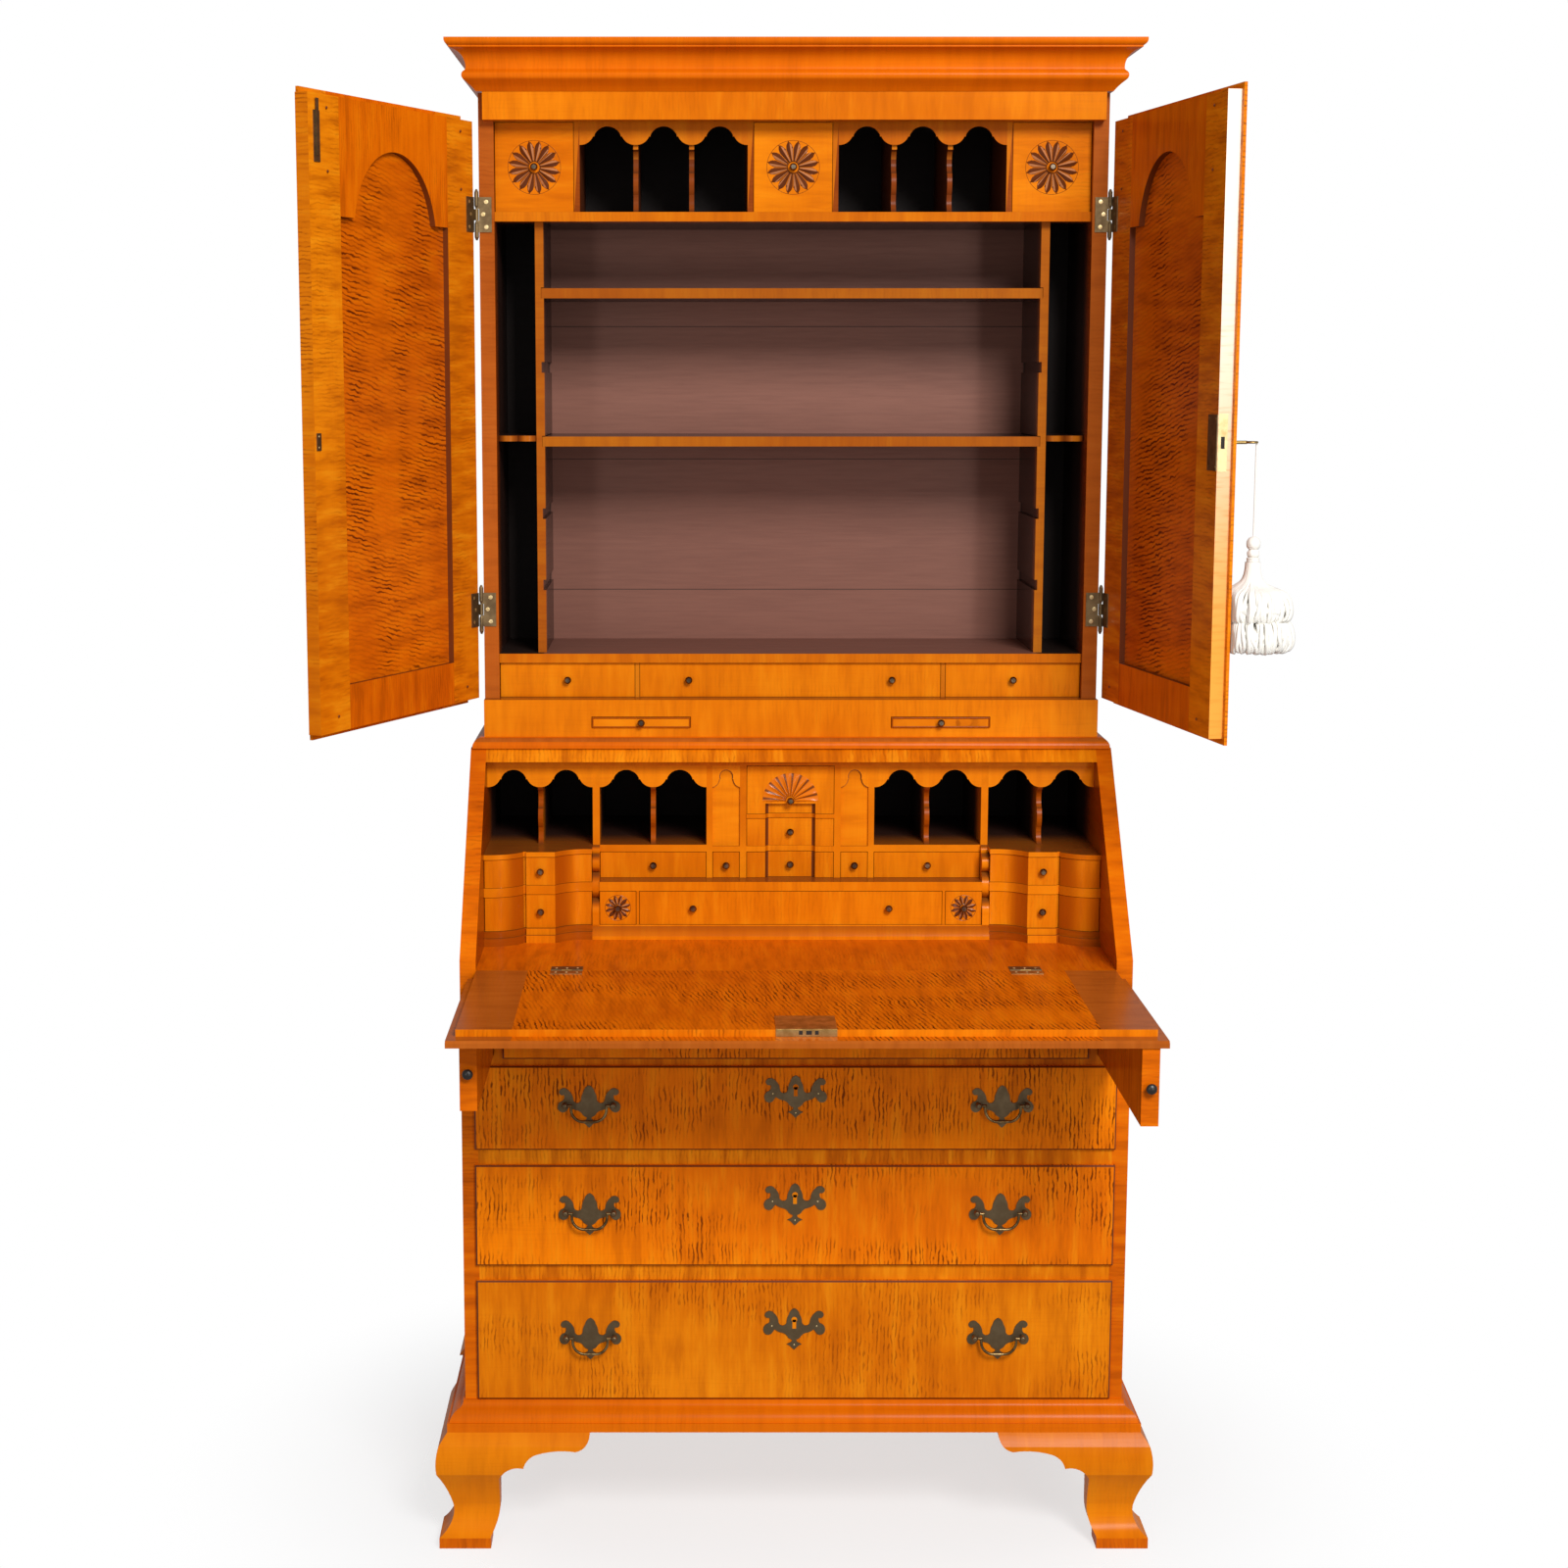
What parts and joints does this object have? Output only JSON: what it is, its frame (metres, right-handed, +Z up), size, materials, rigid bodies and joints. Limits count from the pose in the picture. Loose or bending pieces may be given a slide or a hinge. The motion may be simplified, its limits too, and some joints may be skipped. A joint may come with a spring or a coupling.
{
  "type": "bureau bookcase",
  "caption": "Slant-front desk on ogee bracket feet with a fitted writing gallery and an arched two-door bookcase above.",
  "frame": {"origin": "on the floor under the middle of the desk case", "axes": "+X to the right seen from the front, +Y to the back, +Z up"},
  "size_m": [1.2415, 0.867, 2.068],
  "materials": {
    "maple": "polished",
    "back_wood": "satin",
    "brass": "aged",
    "cream_fabric": "matt"
  },
  "bodies": {
    "case": {"desk_sides": "maple", "desk_boards": "maple", "back_boards": "back_wood", "case_mouldings": "maple", "bracket_feet": "maple", "gallery_case": "maple", "gallery_valances": "maple", "gallery_dividers": "maple", "bookcase_case": "maple", "cornice": "maple", "bookcase_shelves": "maple", "bookcase_pigeonholes": "maple", "hinge_leaves": "brass"},
    "left_door": {"left_door": "maple", "left_door_brasses": "brass"},
    "left_bolt": {"left_door_bolt": "brass"},
    "right_door": {"right_door": "maple", "right_door_brasses": "brass"},
    "key": {"door_key": "brass"},
    "tassel": {"tassel": "cream_fabric", "tassel_cord": "cream_fabric"},
    "fall": {"fall_board": "maple", "fall_brasses": "brass"},
    "left_loper": {"left_loper": "maple"},
    "right_loper": {"right_loper": "maple"},
    "top_drawer": {"top_drawer": "maple", "top_drawer_brasses": "brass"},
    "top_bails": {"top_drawer_bails": "brass"},
    "upper_drawer": {"upper_drawer": "maple", "upper_drawer_brasses": "brass"},
    "upper_bails": {"upper_drawer_bails": "brass"},
    "middle_drawer": {"middle_drawer": "maple", "middle_drawer_brasses": "brass"},
    "middle_bails": {"middle_drawer_bails": "brass"},
    "lower_drawer": {"lower_drawer": "maple", "lower_drawer_brasses": "brass"},
    "lower_bails": {"lower_drawer_bails": "brass"},
    "gallery_long_drawer": {"gallery_long_drawer": "maple"},
    "prospect_low_drawer": {"prospect_low_drawer": "maple"},
    "prospect_middle_drawer": {"prospect_middle_drawer": "maple"},
    "prospect_fan_drawer": {"prospect_fan_drawer": "maple"},
    "left_letter_drawer": {"left_letter_drawer": "maple"},
    "left_narrow_drawer": {"left_narrow_drawer": "maple"},
    "left_fan_drawer": {"left_fan_drawer": "maple"},
    "left_upper_blocked_drawer": {"left_upper_blocked_drawer": "maple"},
    "left_lower_blocked_drawer": {"left_lower_blocked_drawer": "maple"},
    "right_letter_drawer": {"right_letter_drawer": "maple"},
    "right_narrow_drawer": {"right_narrow_drawer": "maple"},
    "right_fan_drawer": {"right_fan_drawer": "maple"},
    "right_upper_blocked_drawer": {"right_upper_blocked_drawer": "maple"},
    "right_lower_blocked_drawer": {"right_lower_blocked_drawer": "maple"},
    "left_rosette_drawer": {"left_rosette_drawer": "maple"},
    "left_tray_drawer": {"left_tray_drawer": "maple"},
    "middle_rosette_drawer": {"middle_rosette_drawer": "maple"},
    "middle_tray_drawer": {"middle_tray_drawer": "maple"},
    "right_rosette_drawer": {"right_rosette_drawer": "maple"},
    "right_tray_drawer": {"right_tray_drawer": "maple"},
    "left_candle_slide": {"left_candle_slide": "maple"},
    "right_candle_slide": {"right_candle_slide": "maple"}
  },
  "joints": [
    {"name": "left_door_hinge", "type": "hinge", "parent": "case", "child": "left_door", "pos_m": [-0.4421, 0.009, 1.558], "axis": [0, 0, -1], "range_deg": [-113, 62]},
    {"name": "right_door_hinge", "type": "hinge", "parent": "case", "child": "right_door", "pos_m": [0.4421, 0.009, 1.558], "axis": [0, 0, 1], "range_deg": [-99.2, 75.8]},
    {"name": "left_bolt_slide", "type": "slide", "parent": "left_door", "child": "left_bolt", "axis": [0, 0, 1], "range_m": [0, 0.012]},
    {"name": "key_turn", "type": "hinge", "parent": "right_door", "child": "key", "pos_m": [0.53526, -0.40544, 1.53], "axis": [0.9871, 0.1599, 0], "range_deg": [0, 90], "deforming": ["tassel_cord"]},
    {"name": "tassel_swing", "type": "hinge", "parent": "right_door", "child": "tassel", "pos_m": [0.5708, -0.39968, 1.5281], "axis": [0.9871, 0.1599, 0], "range_deg": [-20, 20]},
    {"name": "fall_hinge", "type": "hinge", "parent": "case", "child": "fall", "pos_m": [0, -0.2543, 0.815], "axis": [1, 0, 0], "range_deg": [-131.9, 0]},
    {"name": "left_loper_slide", "type": "slide", "parent": "case", "child": "left_loper", "axis": [0, -1, 0], "range_m": [-0.278, 0.07]},
    {"name": "right_loper_slide", "type": "slide", "parent": "case", "child": "right_loper", "axis": [0, -1, 0], "range_m": [-0.347, 0.003]},
    {"name": "top_drawer_slide", "type": "slide", "parent": "case", "child": "top_drawer", "axis": [0, -1, 0], "range_m": [0, 0.33]},
    {"name": "top_bails_swing", "type": "hinge", "parent": "top_drawer", "child": "top_bails", "pos_m": [0, -0.2739, 0.754], "axis": [-1, 0, 0], "range_deg": [0, 75]},
    {"name": "upper_drawer_slide", "type": "slide", "parent": "case", "child": "upper_drawer", "axis": [0, -1, 0], "range_m": [0, 0.33]},
    {"name": "upper_bails_swing", "type": "hinge", "parent": "upper_drawer", "child": "upper_bails", "pos_m": [0, -0.2739, 0.631], "axis": [-1, 0, 0], "range_deg": [0, 75]},
    {"name": "middle_drawer_slide", "type": "slide", "parent": "case", "child": "middle_drawer", "axis": [0, -1, 0], "range_m": [0, 0.33]},
    {"name": "middle_bails_swing", "type": "hinge", "parent": "middle_drawer", "child": "middle_bails", "pos_m": [0, -0.2739, 0.4785], "axis": [-1, 0, 0], "range_deg": [0, 75]},
    {"name": "lower_drawer_slide", "type": "slide", "parent": "case", "child": "lower_drawer", "axis": [0, -1, 0], "range_m": [0, 0.33]},
    {"name": "lower_bails_swing", "type": "hinge", "parent": "lower_drawer", "child": "lower_bails", "pos_m": [0, -0.2739, 0.2995], "axis": [-1, 0, 0], "range_deg": [0, 75]},
    {"name": "gallery_long_drawer_slide", "type": "slide", "parent": "case", "child": "gallery_long_drawer", "axis": [0, -1, 0], "range_m": [0, 0.15]},
    {"name": "prospect_low_drawer_slide", "type": "slide", "parent": "case", "child": "prospect_low_drawer", "axis": [0, -1, 0], "range_m": [0, 0.15]},
    {"name": "prospect_middle_drawer_slide", "type": "slide", "parent": "case", "child": "prospect_middle_drawer", "axis": [0, -1, 0], "range_m": [0, 0.15]},
    {"name": "prospect_fan_drawer_slide", "type": "slide", "parent": "case", "child": "prospect_fan_drawer", "axis": [0, -1, 0], "range_m": [0, 0.15]},
    {"name": "left_letter_drawer_slide", "type": "slide", "parent": "case", "child": "left_letter_drawer", "axis": [0, -1, 0], "range_m": [0, 0.15]},
    {"name": "left_narrow_drawer_slide", "type": "slide", "parent": "case", "child": "left_narrow_drawer", "axis": [0, -1, 0], "range_m": [0, 0.15]},
    {"name": "left_fan_drawer_slide", "type": "slide", "parent": "case", "child": "left_fan_drawer", "axis": [0, -1, 0], "range_m": [0, 0.15]},
    {"name": "left_upper_blocked_drawer_slide", "type": "slide", "parent": "case", "child": "left_upper_blocked_drawer", "axis": [0, -1, 0], "range_m": [0, 0.15]},
    {"name": "left_lower_blocked_drawer_slide", "type": "slide", "parent": "case", "child": "left_lower_blocked_drawer", "axis": [0, -1, 0], "range_m": [0, 0.15]},
    {"name": "right_letter_drawer_slide", "type": "slide", "parent": "case", "child": "right_letter_drawer", "axis": [0, -1, 0], "range_m": [0, 0.15]},
    {"name": "right_narrow_drawer_slide", "type": "slide", "parent": "case", "child": "right_narrow_drawer", "axis": [0, -1, 0], "range_m": [0, 0.15]},
    {"name": "right_fan_drawer_slide", "type": "slide", "parent": "case", "child": "right_fan_drawer", "axis": [0, -1, 0], "range_m": [0, 0.15]},
    {"name": "right_upper_blocked_drawer_slide", "type": "slide", "parent": "case", "child": "right_upper_blocked_drawer", "axis": [0, -1, 0], "range_m": [0, 0.15]},
    {"name": "right_lower_blocked_drawer_slide", "type": "slide", "parent": "case", "child": "right_lower_blocked_drawer", "axis": [0, -1, 0], "range_m": [0, 0.15]},
    {"name": "left_rosette_drawer_slide", "type": "slide", "parent": "case", "child": "left_rosette_drawer", "axis": [0, -1, 0], "range_m": [0, 0.15]},
    {"name": "left_tray_drawer_slide", "type": "slide", "parent": "case", "child": "left_tray_drawer", "axis": [0, -1, 0], "range_m": [0, 0.15]},
    {"name": "middle_rosette_drawer_slide", "type": "slide", "parent": "case", "child": "middle_rosette_drawer", "axis": [0, -1, 0], "range_m": [0, 0.15]},
    {"name": "middle_tray_drawer_slide", "type": "slide", "parent": "case", "child": "middle_tray_drawer", "axis": [0, -1, 0], "range_m": [0, 0.15]},
    {"name": "right_rosette_drawer_slide", "type": "slide", "parent": "case", "child": "right_rosette_drawer", "axis": [0, -1, 0], "range_m": [0, 0.15]},
    {"name": "right_tray_drawer_slide", "type": "slide", "parent": "case", "child": "right_tray_drawer", "axis": [0, -1, 0], "range_m": [0, 0.15]},
    {"name": "left_candle_slide_slide", "type": "slide", "parent": "case", "child": "left_candle_slide", "axis": [0, -1, 0], "range_m": [0, 0.15]},
    {"name": "right_candle_slide_slide", "type": "slide", "parent": "case", "child": "right_candle_slide", "axis": [0, -1, 0], "range_m": [0, 0.15]}
  ]
}
